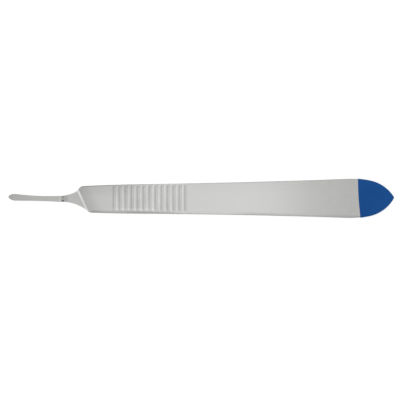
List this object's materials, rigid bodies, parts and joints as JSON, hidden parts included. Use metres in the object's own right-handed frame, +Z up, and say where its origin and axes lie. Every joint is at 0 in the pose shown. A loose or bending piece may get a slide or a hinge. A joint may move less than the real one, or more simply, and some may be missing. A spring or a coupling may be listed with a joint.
{
  "type": "scalpel handle",
  "caption": "Flat one-piece steel scalpel handle with a slotted blade tongue, slanted shoulder, grooved finger grip and a blue coat on its pointed end.",
  "frame": {"origin": "middle of the bounding box in X and Y, on the surface that the handle lies on", "axes": "+X from the blade tongue to the coated pointed end, +Y across the width, +Z up, out of the face that carries the blade boss"},
  "size_m": [0.125, 0.0128, 0.0026],
  "materials": {
    "steel": "satin, fine brushed",
    "blue_coat": "smooth satin coat"
  },
  "bodies": {
    "root": {"handle": "steel", "end_coat": "blue_coat"}
  },
  "joints": []
}
